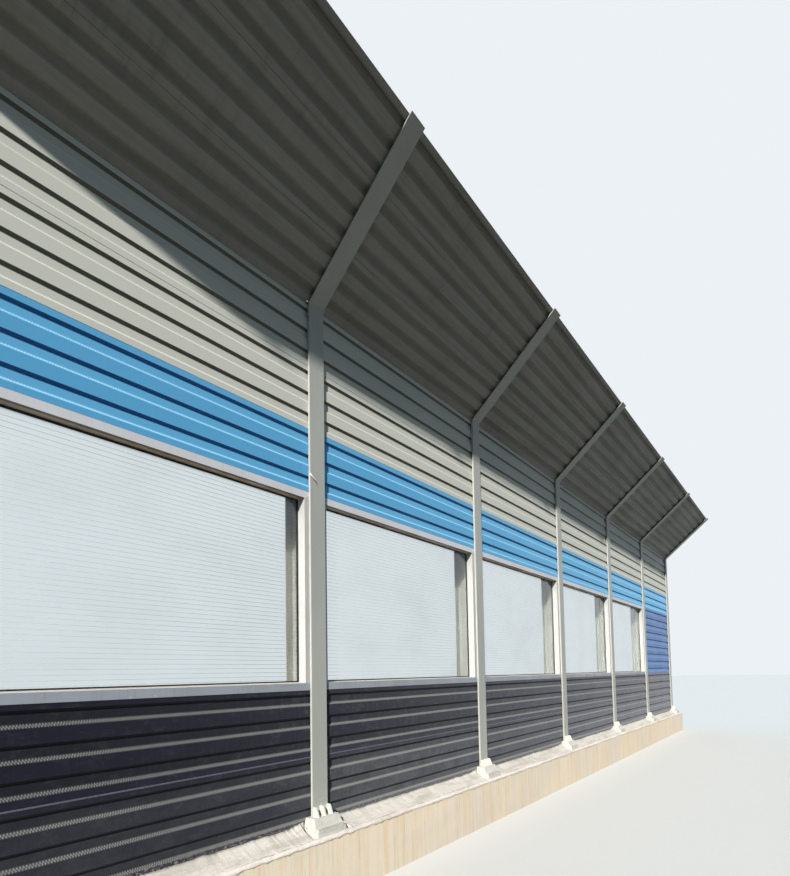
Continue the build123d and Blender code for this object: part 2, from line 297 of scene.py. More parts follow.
def gathered_dust(finish, colour, dust, low, under, near):
    """Dust over the lowest course, thickest in the second bay, and blotches of it on the rest."""
    patches = finish.noise((5, 5, 9), detail=5, roughness=0.6, offset=3)
    grains = finish.noise((90, 90, 45), roughness=0.75, offset=14)
    blotches = finish.patches((9, 9, 16), 0.50, 0.66, detail=6, roughness=0.8, offset=25)
    exposed = finish.rest(finish.times(under, 0.8))
    onward = finish.times(
        finish.span(finish.step(finish.x, *DUST_RISE), 0.5, 1.5),
        finish.span(finish.step(finish.x, *DUST_FALL), 1.0, 0.55),
    )
    gathered = finish.times(
        low, onward, finish.span(patches, 0.0, 0.24), finish.span(grains, 0.3, 1.7), exposed
    )
    colour = finish.mix(gathered, colour, dust)
    spread = finish.times(
        blotches, finish.span(grains, -0.04, 0.24), exposed, finish.span(near, 0.4, 1.0)
    )
    return finish.mix(spread, colour, dust)


def splashed_foot(finish, colour, height):
    """Mortar splashed over the foot of the lowest course."""
    close = finish.step(height, *SPLASHED_SHEET)
    splashes = finish.patches((45, 45, 80), 0.48, 0.68, detail=6, roughness=0.75, offset=21)
    return finish.mix(finish.times(close, splashes, 0.8), colour, srgb(196, 188, 180))


# Pressed sheet of the louvred wall panels, dusty on its ridges and, up to a foot height, all over,
# with painted light and shade on its louvres and hems
def louvred_sheet(
    name, paint, recessed, crest, shade_and_joint_colour, dust, film, gloss, sheen, tint, foot=0.0, hem_highlight=None
):
    finish = Finish(name, gloss=gloss)
    height = finish.minus(finish.z, PLATE_TOP)
    phase = finish.repeat(height, WALL_WAVE)
    rise = finish.repeat(height, COURSE_HEIGHT)
    front = finish.step(finish.facing[1], 0.2, -0.2)
    back = finish.step(finish.facing[1], 0.8, 0.95)
    near = finish.step(finish.x, *NEAR_FADE)
    ridge, flat, under = louvre_bands(finish, phase, front)
    sheet = perforation(finish, phase)
    hatch = finish.patches((150, 3, 2.5), 0.3, 0.7, detail=2, offset=2)
    streaks = finish.patches((38, 38, 1.4), 0.45, 0.8, roughness=0.6, offset=12)
    clouds = finish.patches((1.6, 1.6, 2.4), 0.3, 0.75, detail=5, offset=7)
    speckle = finish.patches((130, 130, 60), 0.36, 0.62, detail=3, roughness=0.7, offset=9)
    thin = finish.either(finish.times(hatch, 0.03), finish.times(clouds, streaks, 0.2))
    # Ridges: dust on the dark sheet, and a painted highlight on the upward slopes of the other sheets
    ridge_dust_and_highlight = finish.times(ridge, finish.span(sheet, 0.5, 1.0), finish.span(speckle, 0.7, 1.0))
    # The recessed flat takes its own colour, a painted shading of the paint: lighter on the blue
    # sheets and darker on the grey one
    colour = finish.mix(flat, paint, recessed)
    # Painted shade on each louvre's downward slope; the same dark colour marks the real joints on the
    # back
    colour = finish.mix(finish.times(under, 0.9), colour, shade_and_joint_colour)
    if foot:
        thin = finish.times(thin, finish.span(near, 0.3, 1.0))
    colour = finish.mix(finish.times(thin, film), colour, dust)
    if foot:
        low = finish.step(height, foot + DUST_EDGE, foot - DUST_EDGE)
        colour = gathered_dust(finish, colour, dust, low, under, near)
        holes = finish.times(finish.rest(sheet), finish.span(near, 0.6, 0.0))
        ridge_dust_and_highlight = finish.times(
            ridge_dust_and_highlight, finish.rest(holes), finish.span(low, 0.88, 1.0), finish.span(near, 0.86, 1.0)
        )
    colour = finish.mix(ridge_dust_and_highlight, colour, crest)
    if foot:
        colour = splashed_foot(finish, colour, height)
    joint = finish.either(finish.step(rise, *JOINT_BELOW), finish.step(rise, *JOINT_ABOVE))
    colour = finish.mix(finish.times(back, joint, 0.8), colour, shade_and_joint_colour)
    # Painted highlight along the hem at the top of each course's front
    if hem_highlight:
        hem = finish.times(front, finish.step(rise, *HEM_RISE), finish.step(rise, *HEM_FALL))
        colour = finish.mix(finish.times(hem, finish.span(speckle, 0.6, 0.95)), colour, hem_highlight)
    finish.colour(colour)
    finish.shader.inputs["Sheen Weight"].default_value = sheen
    finish.shader.inputs["Sheen Roughness"].default_value = 0.5
    finish.shader.inputs["Sheen Tint"].default_value = tint
    finish.rough(finish.either(finish.span(clouds, 0.48, 0.64), finish.times(ridge, 0.2)))
    waves = finish.noise((5, 5, 9), detail=2, offset=5)
    sunk = finish.times(ridge, finish.rest(sheet), 0.3)
    finish.bump(finish.minus(finish.times(waves, 0.6), sunk), 0.002, 0.5)
    return finish.material


# Sheet under the canopy, with painted shade over the hollow of each wave, and dirty in runs along and
# across it
HOLLOW_RISE = (0.26, 0.44)
HOLLOW_FALL = (0.76, 0.58)


def canopy_steel(name, paint, recessed, dirt):
    finish = Finish(name, gloss=0.15)
    phase = finish.repeat(finish.along(CANOPY_UPHILL, CANOPY_START), CANOPY_WAVE)
    underside = finish.step(finish.facing[2], 0.2, -0.2)
    # Painted shade over the hollow of each wave on the underside
    hollow = finish.times(
        underside, finish.step(phase, *HOLLOW_RISE), finish.step(phase, *HOLLOW_FALL)
    )
    along = finish.patches((1.8, 34, 34), 0.42, 0.7, detail=5, roughness=0.65, offset=3)
    across = finish.patches((16, 1.4, 1.4), 0.45, 0.75, detail=5, roughness=0.65, offset=8)
    clouds = finish.patches((1.2, 2.2, 2.2), 0.35, 0.7, detail=5, offset=5)
    stained = finish.either(finish.times(along, 0.28), finish.times(across, clouds, 0.4))
    finish.colour(finish.mix(stained, finish.mix(hollow, paint, recessed), dirt))
    finish.rough(finish.span(clouds, 0.5, 0.68))
    finish.bump(finish.noise((5, 9, 9), detail=2, offset=5), 0.002, 0.4)
    return finish.material


# Paint of the window frames, with dust on the ledges, brown on the undersides and painted shade under
# the frames next to the gaskets
GASKET_SHADE = (0.034, 0.022)


def frame_paint(name, paint, soiled):
    dust = srgb(190, 180, 162)
    underside_brown = srgb(182, 154, 118)
    gasket_shade = srgb(58, 52, 48)
    finish = Finish(name, gloss=0.35)
    clouds = finish.patches((4, 4, 4), 0.35, 0.7, detail=5)
    runs = finish.patches((60, 60, 2.0), 0.5, 0.75, detail=3, offset=4)
    speckle = finish.patches((70, 70, 70), 0.4, 0.7, roughness=0.7, offset=9)
    crumbs = finish.patches((24, 24, 24), 0.64, 0.7, detail=6, roughness=0.7, offset=15)
    ledge = finish.step(finish.facing[2], 0.4, 0.8)
    below = finish.step(finish.facing[2], -0.4, -0.8)
    inward = finish.step(finish.y, *(PANEL_FRONT + depth for depth in GASKET_SHADE))
    stained = finish.either(finish.times(clouds, 0.4), finish.times(runs, 0.35))
    colour = finish.mix(stained, paint, soiled)
    colour = finish.mix(finish.times(crumbs, 0.5), colour, dust)
    colour = finish.mix(finish.times(ledge, finish.span(speckle, 0.55, 0.9)), colour, dust)
    # Brown patches on the undersides
    colour = finish.mix(finish.times(below, finish.span(clouds, 0.7, 0.95)), colour, underside_brown)
    colour = finish.mix(finish.times(below, inward, 0.85), colour, gasket_shade)
    finish.colour(colour)
    finish.rough(finish.span(clouds, 0.38, 0.58))
    finish.bump(finish.noise((200, 200, 200), detail=2), 0.0005, 0.4)
    return finish.material


# Cast concrete, stained in upright streaks, with a pale edge, grey smears on top, and ends greyed by
# dirt and painted shade
RIM_WANDER = 0.07
RIM_BAND = (0.002, 0.022)


def cast_concrete(name):
    cream = srgb(240, 225, 201)
    buff = srgb(231, 220, 205)
    ochre = srgb(233, 197, 148)
    umber = srgb(198, 170, 132)
    rim_pale = srgb(216, 208, 194)
    top_pale = srgb(206, 198, 188)
    top_smear = srgb(194, 187, 177)
    pit_shade = srgb(164, 150, 130)
    end_pale = srgb(164, 157, 146)
    end_smear = srgb(150, 144, 134)
    grain_shade = srgb(178, 166, 148)
    finish = Finish(name, 0.9, gloss=0.2)
    grain = finish.noise((90, 90, 90), detail=6, roughness=0.7)
    broad = finish.patches((0.9, 0.9, 1.5), 0.35, 0.68, detail=5, offset=3)
    streaks = finish.patches((13, 13, 0.6), 0.42, 0.78, detail=5, roughness=0.65, offset=5)
    fine = finish.patches((70, 70, 1.8), 0.5, 0.75, roughness=0.6, offset=8)
    smears = finish.patches((3.5, 6, 3), 0.42, 0.6, detail=6, roughness=0.6, offset=11)
    pits = finish.patches((210, 210, 210), 0.66, 0.74, detail=3, roughness=0.6, offset=2)
    ragged = finish.times(finish.noise((9, 9, 14), detail=6, roughness=0.65), RIM_WANDER)
    rim = finish.step(finish.plus(finish.z, ragged), *(PLINTH_TOP + height for height in RIM_BAND))
    top = finish.step(finish.facing[2], 0.5, 0.9)
    end = finish.step(finish.math("ABSOLUTE", finish.facing[0]), 0.6, 0.9)
    colour = finish.mix(broad, cream, buff)
    colour = finish.mix(finish.times(streaks, 0.65), colour, ochre)
    colour = finish.mix(finish.times(fine, 0.5), colour, umber)
    colour = finish.mix(finish.times(rim, 0.85), colour, rim_pale)
    colour = finish.mix(top, colour, finish.mix(smears, top_pale, top_smear))
    colour = finish.mix(finish.times(pits, 0.3), colour, pit_shade)
    # The ends are greyed, partly dirt and partly painted shade where the next segment of the row
    # would stand
    colour = finish.mix(end, colour, finish.mix(broad, end_pale, end_smear))
    finish.colour(finish.mix(finish.span(grain, -0.12, 0.18), colour, grain_shade))
    finish.bump(finish.minus(finish.plus(finish.times(grain, 0.6), broad), pits), 0.006, 0.8)
    return finish.material


# Trowelled mortar, greyer than the plinth, with dark specks
def trowelled_mortar(name, pale, grey):
    finish = Finish(name, 0.95, gloss=0.2)
    clouds = finish.patches((2.4, 11, 11), 0.44, 0.62, detail=6, roughness=0.7)
    lumps = finish.noise((26, 34, 34), detail=5, roughness=0.75, offset=6)
    grain = finish.noise((160, 160, 160), detail=5, roughness=0.7, offset=3)
    specks = finish.patches((70, 70, 70), 0.60, 0.68, detail=3, roughness=0.7, offset=17)
    colour = finish.mix(finish.times(clouds, finish.span(grain, 0.5, 1.0)), pale, grey)
    colour = finish.mix(finish.times(finish.step(lumps, 0.5, 0.72), 0.35), colour, grey)
    finish.colour(finish.mix(finish.times(specks, 0.5), colour, srgb(128, 122, 114)))
    finish.bump(finish.plus(finish.times(grain, 0.4), lumps), 0.008, 0.7)
    return finish.material


# Sealant that has gone chalky, with clouds of dirt
def chalky_sealant(name, pale, soiled):
    finish = Finish(name, 0.8, gloss=0.3)
    clouds = finish.patches((14, 14, 7), 0.4, 0.72, detail=5, roughness=0.6)
    finish.colour(finish.mix(finish.times(clouds, 0.6), pale, soiled))
    finish.bump(finish.noise((90, 90, 40), detail=3), 0.002, 0.5)
    return finish.material


# Black rubber of the gaskets and the canopy's seals, dusty in places
def rubber(name):
    finish = Finish(name, 0.7, gloss=0.3)
    dusty = finish.patches((30, 30, 30), 0.45, 0.7)
    finish.colour(finish.mix(finish.times(dusty, 0.4), srgb(26, 26, 28), srgb(74, 72, 68)))
    finish.bump(finish.noise((300, 300, 300), detail=2), 0.0004, 0.4)
    return finish.material


# Clear acrylic of the panes, with a faint film of dirt
def acrylic(name):
    finish = Finish(name, 0.02)
    finish.shader.inputs["Transmission Weight"].default_value = 1.0
    finish.shader.inputs["IOR"].default_value = 1.49
    film = finish.patches((1.2, 1.2, 2.0), 0.4, 0.75, detail=5)
    finish.colour(finish.mix(film, srgb(229, 234, 233), srgb(222, 227, 226)))
    return finish.material


# Grey plastic of the threads in the panes
def plain_thread(name):
    finish = Finish(name, 0.5)
    shades = finish.noise((60, 60, 60), detail=2)
    finish.colour(finish.mix(shades, srgb(122, 128, 131), srgb(140, 144, 146)))
    return finish.material


# Finishes of the CAD nodes
COOL_SHEEN = srgb(222, 225, 236)

post_paint = painted_steel(
    "post_paint",
    paint=srgb(154, 156, 150),
    soiled=srgb(140, 139, 131),
    pale=srgb(168, 170, 163),
    splash=0.8,
)
foot_paint = painted_steel(
    "foot_paint",
    paint=srgb(198, 196, 186),
    soiled=srgb(170, 164, 150),
    pale=srgb(202, 200, 190),
    splash=0.5,
)
dark_sheet = louvred_sheet(
    "dark_panel",
    paint=srgb(13, 15, 29),
    recessed=srgb(17, 18, 27),
    crest=srgb(128, 127, 122),
    shade_and_joint_colour=srgb(4, 5, 9),
    dust=srgb(136, 138, 140),
    film=0.5,
    gloss=0.08,
    sheen=0.26,
    tint=COOL_SHEEN,
    foot=0.45,
    hem_highlight=srgb(96, 97, 112),
)
light_blue_sheet = louvred_sheet(
    "light_blue_panel",
    paint=srgb(77, 149, 192),
    recessed=srgb(85, 155, 196),
    crest=srgb(148, 196, 222),
    shade_and_joint_colour=srgb(0, 74, 140),
    dust=srgb(150, 174, 190),
    film=0.4,
    gloss=0.25,
    sheen=0.3,
    tint=srgb(160, 210, 240),
)
royal_blue_sheet = louvred_sheet(
    "royal_blue_panel",
    paint=srgb(64, 104, 159),
    recessed=srgb(70, 112, 165),
    crest=srgb(100, 138, 190),
    shade_and_joint_colour=srgb(8, 26, 66),
    dust=srgb(140, 156, 180),
    film=0.4,
    gloss=0.25,
    sheen=0.1,
    tint=COOL_SHEEN,
)
grey_sheet = louvred_sheet(
    "grey_panel",
    paint=srgb(185, 186, 177),
    recessed=srgb(181, 182, 172),
    crest=srgb(202, 202, 193),
    shade_and_joint_colour=srgb(60, 60, 52),
    dust=srgb(198, 194, 184),
    film=0.4,
    gloss=0.2,
    sheen=0.05,
    tint=COOL_SHEEN,
)
canopy_sheet = canopy_steel(
    "canopy_panel", paint=srgb(147, 145, 137), recessed=srgb(118, 117, 110), dirt=srgb(98, 96, 90)
)
head_paint = frame_paint("window_head", srgb(196, 197, 202), srgb(182, 181, 180))
jamb_paint = frame_paint("window_jamb", srgb(172, 172, 170), srgb(161, 160, 157))
sill_paint = frame_paint("window_sill", srgb(146, 151, 158), srgb(128, 132, 137))
concrete = cast_concrete("concrete")
grout = trowelled_mortar("grout", srgb(199, 196, 188), srgb(182, 178, 168))
mortar = trowelled_mortar("mortar", srgb(203, 196, 187), srgb(174, 168, 158))
rim_mortar = trowelled_mortar("rim_mortar", srgb(221, 211, 203), srgb(196, 186, 174))
sealant = chalky_sealant("sealant", srgb(182, 181, 174), srgb(158, 155, 146))
clean_sealant = chalky_sealant("clean_sealant", srgb(222, 220, 214), srgb(206, 203, 196))
black_rubber = rubber("rubber")
pane = acrylic("glass")
thread_grey = plain_thread("thread_grey")

FINISHES = {
    "concrete_plinth": concrete,
    "post_grout_pads": grout,
    "foot_caps": grout,
    "bedding_mortar": mortar,
    "post_base_plates": grout,
    "base_plate_fins": foot_paint,
    "post_": post_paint,
    "canopy_arm_": post_paint,
    "knee_plates": post_paint,
    "retaining_angles": post_paint,
    "dark_panels": dark_sheet,
    "light_blue_panels": light_blue_sheet,
    "solid_bay_panel": royal_blue_sheet,
    "grey_panels": grey_sheet,
    "canopy_panels": canopy_sheet,
    "canopy_edge_trims": canopy_sheet,
    "knee_closures": canopy_sheet,
    "window_heads": head_paint,
    "window_jambs": jamb_paint,
    "window_sills": sill_paint,
    "glass_panes": pane,
    "gasket_": black_rubber,
    "wall_seals": sealant,
    "canopy_seals": black_rubber,
}


def finish_nodes():
    """Gives each CAD node the finish whose key is the longest that its name holds."""
    for name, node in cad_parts.items():
        keys = [key for key in FINISHES if key in name]
        finish = FINISHES[max(keys, key=len)]
        if not node.material_slots:
            node.data.materials.append(finish)
        for place in node.material_slots:
            place.material = finish
    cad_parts["glass_panes"].visible_shadow = False


def new_piece(name, shape, finish):
    """A finished, smooth mesh piece on the barrier's one body, from a shape made of tubes."""
    bmesh.ops.recalc_face_normals(shape, faces=shape.faces)
    mesh = bpy.data.meshes.new(name)
    shape.to_mesh(mesh)
    shape.free()
    mesh.materials.append(finish)
    for face in mesh.polygons:
        face.use_smooth = True
    piece = bpy.data.objects.new(name, mesh)
    bpy.context.scene.collection.objects.link(piece)
    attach(piece, "root")
    return piece


def circle(centre, aside, across, radius, sides):
    """A ring of points round a centre, in the plane of two directions."""
    turns = [k * math.tau / sides for k in range(sides)]
    return [centre + radius * (math.cos(turn) * aside + math.sin(turn) * across) for turn in turns]


def tube(shape, rings):
    """Skins a row of rings that have as many points each, and closes its ends."""
    made = [[shape.verts.new(point) for point in ring] for ring in rings]
    count = len(made[0])
    for one, two in zip(made, made[1:]):
        for k in range(count):
            after = (k + 1) % count
            shape.faces.new((one[k], one[after], two[after], two[k]))
    shape.faces.new(list(reversed(made[0])))
    shape.faces.new(made[-1])


# Threads cast into the panes, which end inside the jambs, a share of the glass's bite deep
THREAD_PITCH = 0.029
THREAD_RADIUS = 0.0009
THREAD_SIDES = 6
THREAD_BITE = 0.6


def pane_threads():
    shape = bmesh.new()
    inward = Vector((0, 1, 0))
    upward = Vector((0, 0, 1))
    half = PANEL_LENGTH / 2 - JAMB_FACE + GLASS_BITE * THREAD_BITE
    count = int((OPENING_TOP - OPENING_BOTTOM) / THREAD_PITCH)
    start = (OPENING_TOP + OPENING_BOTTOM - (count - 1) * THREAD_PITCH) / 2
    for x in WINDOW_PLACES:
        for n in range(count):
            z = start + n * THREAD_PITCH
            ends = [Vector((x + side * half, PANE_MIDDLE, z)) for side in (-1, 1)]
            tube(shape, [circle(end, inward, upward, THREAD_RADIUS, THREAD_SIDES) for end in ends])
    piece = new_piece("pane_threads", shape, thread_grey)
    piece.visible_shadow = False


# Lines drawn by hand, as waves of noise: cells a metre, an offset and a weight for each
TROWELLED = ((2.3, 0.0, 0.6), (11.0, 4.0, 0.4), (48.0, 9.0, 0.25))
CRUMBLED = ((3.1, 2.0, 0.8), (17.0, 6.0, 0.9), (60.0, 11.0, 0.9))


def wander(x, seed, size, waves=TROWELLED):
    """A smooth random line along the row, whose swing grows with size."""
    return size * sum(
        weight * noise.noise(Vector((x * cells, seed, offset))) for cells, offset, weight in waves
    )


# Mortar under the lowest panels: its lip on them, its aprons, and how both change towards the posts
MORTAR_STATIONS = 200
MORTAR_STEPS = 9
MORTAR_LIP = 0.014
MORTAR_LIP_WAVE = 0.018
MORTAR_END_LIP = 0.020
MORTAR_END_RUN = 0.16
MORTAR_TOE = 0.166
MORTAR_TOE_WAVE = 0.020
MORTAR_HOLLOW = 0.006
MORTAR_SEAT = 0.0005
APRON_END = (0.022, 0.046)
APRON_END_SHARE = 0.08
FRONT_SEED = 1.0
BACK_SEED = 6.0

# Its lumps: cells a metre along the row, cells up the apron, an offset and a height for each
LUMPS = ((4.0, 2.0, 7.0, 0.006), (22.0, 6.0, 13.0, 0.0022))


def smooth_share(value, start, end):
    share = min(max((value - start) / (end - start), 0.0), 1.0)
    return share * share * (3 - 2 * share)


def panel_face_inset(height):
    """How far the louvred face stands back from its outer flat, at a height over the panel's foot."""
    slope_low = SLOPE_START * WALL_WAVE
    slope_high = INNER_START * WALL_WAVE
    share = (height - slope_low) / (slope_high - slope_low)
    return WAVE_DEPTH * min(max(share, 0.0), 1.0)


def trowel_marks(x, share, seed):
    """Low flat lumps, longer along the row than across it."""
    return sum(
        size * noise.noise(Vector((x * along, share * up, seed + offset)))
        for along, up, offset, size in LUMPS
    )


def mortar_ring(x, from_end):
    """Outline of the mortar at a place x, from_end away from the nearer end of its bed."""
    rise = 1 - smooth_share(from_end, 0.0, MORTAR_END_RUN)
    spread = APRON_END_SHARE + (1 - APRON_END_SHARE) * smooth_share(from_end, *APRON_END)
    ring = []
    for side, seed, plane in ((-1, FRONT_SEED, PANEL_FRONT), (1, BACK_SEED, PANEL_BACK)):
        lip = MORTAR_LIP + wander(x, seed, MORTAR_LIP_WAVE) + MORTAR_END_LIP * rise
        toe = (MORTAR_TOE + wander(x, seed + 2.0, MORTAR_TOE_WAVE)) * spread
        top = PLATE_TOP + lip
        deep = panel_face_inset(lip) if side < 0 else 0.0
        points = []
        for k in range(MORTAR_STEPS):
            share = k / (MORTAR_STEPS - 1)
            out = toe * (1 - share) - deep * share
            hollow = MORTAR_HOLLOW * math.sin(math.pi * share) * spread
            lump = trowel_marks(x, share, seed) * math.sin(math.pi * share)
            up = PLINTH_TOP + (top - PLINTH_TOP) * share - hollow + lump
            points.append((x, plane + side * out, up))
        points.append((x, plane - side * MORTAR_SEAT, PLATE_TOP))
        ring += points if side < 0 else list(reversed(points))
    return ring


def mortar_beds():
    """The beds and aprons, with closer stations towards the posts."""
    shape = bmesh.new()
    pads_low, pads_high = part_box("post_grout_pads")
    pad_length = pads_high.x - pads_low.x - BAY_COUNT * BAY_PITCH
    length = BAY_PITCH - pad_length
    for middle in BAY_PLACES:
        rings = []
        for n in range(MORTAR_STATIONS + 1):
            even = n / MORTAR_STATIONS
            eased = (1 - math.cos(math.pi * even)) / 2
            x = length * (even + eased) / 2
            rings.append(mortar_ring(middle - length / 2 + x, min(x, length - x)))
        tube(shape, rings)
    piece = new_piece("mortar_beds", shape, mortar)
    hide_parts("bedding_mortar")


# Sealant between the panels and the road-side flanges, drawn by hand up both sides of each post
SEALANT_STEP = 0.03
SEALANT_WAVE = 0.005
SEALANT_BACK = -0.030
SEALANT_MEAN = -0.001
SEALANT_SEED = 20.0

# Its open face off a mean line, each point at a share of the depth from the flange to the panel
SEALANT_FACE = ((-0.003, 0.0), (0.0, 0.3), (-0.001, 0.75), (-0.004, 1.0))


def sealant_strip(shape, post, side, bottom, length, seed):
    """A strip up one edge of a post's flange, with its open face at the flange's edge."""
    count = int(length / SEALANT_STEP)
    rings = []
    for n in range(count + 1):
        run = length * n / count
        bulge = wander(run, seed, SEALANT_WAVE) + SEALANT_MEAN
        face = [(bulge + out, deep) for out, deep in SEALANT_FACE]
        ring = []
        for out, deep in [(SEALANT_BACK, 0.0), *face, (SEALANT_BACK, 1.0)]:
            inward = FLANGE_THICKNESS + deep * (PANEL_SETBACK - FLANGE_THICKNESS)
            ring.append((post + side * (POST_WIDTH / 2 + out), POST_FRONT + inward, bottom + run))
        rings.append(ring)
    tube(shape, rings)


def wall_sealant():
    shape = bmesh.new()
    low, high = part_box("wall_seals")
    seed = SEALANT_SEED
    for left, right in zip(POST_PLACES[:-1], POST_PLACES[1:]):
        for post, side in ((left, 1), (right, -1)):
            sealant_strip(shape, post, side, low.z, high.z - low.z, seed)
            seed += 1
    piece = new_piece("wall_sealant", shape, sealant)
    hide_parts("wall_seals")


# A strand of sealant that has come loose and hangs over the flange of the second post
STRAND_RADIUS = 0.0055
STRAND_SIDES = 8
STRAND_HEAD = 1.3
STRAND_TAPER = 0.13
STRAND_POINTS = (
    (-5.079, -0.146, 3.150),
    (-5.072, -0.1545, 3.140),
    (-5.064, -0.1575, 3.131),
    (-5.053, -0.1590, 3.122),
    (-5.042, -0.1600, 3.114),
    (-5.031, -0.1610, 3.106),
    (-5.020, -0.1600, 3.098),
)


def loose_strand():
    shape = bmesh.new()
    points = [Vector(point) for point in STRAND_POINTS]
    rings = []
    for n, point in enumerate(points):
        ahead = (points[min(n + 1, len(points) - 1)] - points[max(n - 1, 0)]).normalized()
        aside = ahead.cross(Vector((0, 1, 0))).normalized()
        across = ahead.cross(aside)
        radius = STRAND_RADIUS * (STRAND_HEAD - STRAND_TAPER * n)
        rings.append(circle(point, aside, across, radius, STRAND_SIDES))
    tube(shape, rings)
    new_piece("loose_strand", shape, clean_sealant)


# Mortar smeared over the plinth's front edge, ragged above and below, with a least size each way
RIM_STEP = 0.018
RIM_INSET = 0.02
RIM_CHAMFER = 0.015
RIM_WAVE = 0.026
RIM_REACH = 0.024
RIM_LEAST_REACH = 0.006
RIM_DROP = 0.008
RIM_LEAST_DROP = 0.001
RIM_HEIGHT = 0.005
RIM_HEIGHT_WAVE = 0.003
RIM_LEAST_HEIGHT = 0.0015
RIM_SINK = 0.001
REACH_SEED = 3.0
DROP_SEED = 8.0
HEIGHT_SEED = 5.0


def rim_ring(x, front, top):
    """Outline of the smear, from the plinth's top over the chamfer and down its front."""
    reach = RIM_REACH + wander(x, REACH_SEED, RIM_WAVE, CRUMBLED)
    reach = max(RIM_LEAST_REACH, reach)
    drop = RIM_DROP + wander(x, DROP_SEED, RIM_WAVE, CRUMBLED)
    drop = max(RIM_LEAST_DROP, drop)
    thick = RIM_HEIGHT + wander(x, HEIGHT_SEED, RIM_HEIGHT_WAVE, CRUMBLED)
    thick = max(RIM_LEAST_HEIGHT, thick)
    behind = front + RIM_CHAMFER
    below = top - RIM_CHAMFER
    return [
        (x, behind + reach, top - RIM_SINK),
        (x, behind + reach * 0.6, top + thick * 0.7),
        (x, behind, top + thick),
        (x, front + RIM_CHAMFER * 0.3, top - RIM_CHAMFER * 0.4 + thick * 0.9),
        (x, front - thick * 0.6, below),
        (x, front - thick * 0.5, below - drop * 0.7),
        (x, front + RIM_SINK, below - drop),
        (x, behind, below),
    ]


def plinth_rim():
    shape = bmesh.new()
    low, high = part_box("concrete_plinth")
    first = low.x + RIM_INSET
    length = high.x - low.x - 2 * RIM_INSET
    count = int(length / RIM_STEP)
    tube(shape, [rim_ring(first + length * n / count, low.y, high.z) for n in range(count + 1)])
    new_piece("plinth_rim", shape, rim_mortar)


# Weld beads at the feet and knees, as rippled ropes, half sunk, that thin out at their ends
BEAD_RADIUS = 0.0045
BEAD_STEP = 0.006
BEAD_SIDES = 6
BEAD_END = 0.55
RIPPLE = 0.18
RIPPLE_TURN = 2.4
WOBBLE = 0.10
WOBBLE_TURN = 5.1
BEAD_SINK = 0.004
EDGE_MARGIN = 0.001


def bead(shape, start, end):
    start = Vector(start)
    run = Vector(end) - start
    ahead = run.normalized()
    aside = ahead.orthogonal().normalized()
    across = ahead.cross(aside)
    count = max(3, int(run.length / BEAD_STEP))
    rings = []
    for n in range(count + 1):
        ripple = RIPPLE * math.sin(n * RIPPLE_TURN)
        wobble = WOBBLE * math.sin(n * WOBBLE_TURN + start.x)
        swell = BEAD_RADIUS * (1 + ripple + wobble)
        if n in (0, count):
            swell *= BEAD_END
        rings.append(circle(start + run * (n / count), aside, across, swell, BEAD_SIDES))
    tube(shape, rings)


def knee_beads(shape, x, flange):
    """Beads along a flange under and over the knee plate, which lies in the mitre."""
    reach = Vector((POST_WIDTH / 2, 0, 0))
    tilt = (math.radians(90) - CANOPY_SLOPE) / 2
    half_plate = KNEE_PLATE / 2 / math.cos(tilt)
    knee = Vector((x, flange, KNEE_HEIGHT + (flange - POST_FRONT) * math.tan(tilt)))
    for middle in (knee - Vector((0, 0, half_plate)), knee + CANOPY_UPHILL * half_plate):
        bead(shape, middle - reach, middle + reach)


def fin_beads(shape, x, flange, bottom, top):
    """Upright beads on both sides of the three fins, where a flange is behind them."""
    spacing = (POST_WIDTH - FIN_THICKNESS) / 2
    for step in (-1, 0, 1):
        for face in (-1, 1):
            edge = step * spacing + face * FIN_THICKNESS / 2
            if abs(edge) < POST_WIDTH / 2 - EDGE_MARGIN:
                bead(shape, (x + edge, flange, bottom), (x + edge, flange, top))


def weld_beads():
    shape = bmesh.new()
    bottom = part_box("foot_caps")[1].z - BEAD_SINK
    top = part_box("base_plate_fins")[1].z
    for x in POST_PLACES:
        for flange in (-POST_DEPTH / 2, POST_DEPTH / 2):
            knee_beads(shape, x, flange)
            fin_beads(shape, x, flange, bottom, top)
    new_piece("weld_beads", shape, post_paint)


# Floor and world, each with one look for the view and another for the light it gives
FLOOR_REACH = 120.0
FLOOR_SEEN = srgb(202, 201, 198)
FLOOR_LIGHT = srgb(98, 92, 84)


def seen_share(nodes, links):
    """1 for rays that show a surface itself, in the view, in a reflection or through glass."""
    path = nodes.new("ShaderNodeLightPath")
    seen = path.outputs["Is Camera Ray"]
    for name in ("Is Glossy Ray", "Is Transmission Ray"):
        either = nodes.new("ShaderNodeMath")
        either.operation = "MAXIMUM"
        links.new(seen, either.inputs[0])
        links.new(path.outputs[name], either.inputs[1])
        seen = either.outputs[0]
    return seen


def floor_material():
    material = bpy.data.materials.new("floor")
    material.use_nodes = True
    nodes, links = material.node_tree.nodes, material.node_tree.links
    shader = nodes["Principled BSDF"]
    shader.inputs["Roughness"].default_value = 1.0
    shader.inputs["Specular IOR Level"].default_value = 0.0
    shade = nodes.new("ShaderNodeMix")
    shade.data_type = "RGBA"
    links.new(seen_share(nodes, links), shade.inputs[0])
    shade.inputs[6].default_value = FLOOR_LIGHT
    shade.inputs[7].default_value = FLOOR_SEEN
    links.new(shade.outputs[2], shader.inputs["Base Color"])
    return material


def stage_floor():
    mesh = bpy.data.meshes.new("floor")
    quarters = ((-1, -1), (1, -1), (1, 1), (-1, 1))
    corners = [(x * FLOOR_REACH, y * FLOOR_REACH, 0) for x, y in quarters]
    mesh.from_pydata(corners, [], [(0, 1, 2, 3)])
    mesh.materials.append(floor_material())
    floor = bpy.data.objects.new("floor", mesh)
    bpy.context.scene.collection.objects.link(floor)


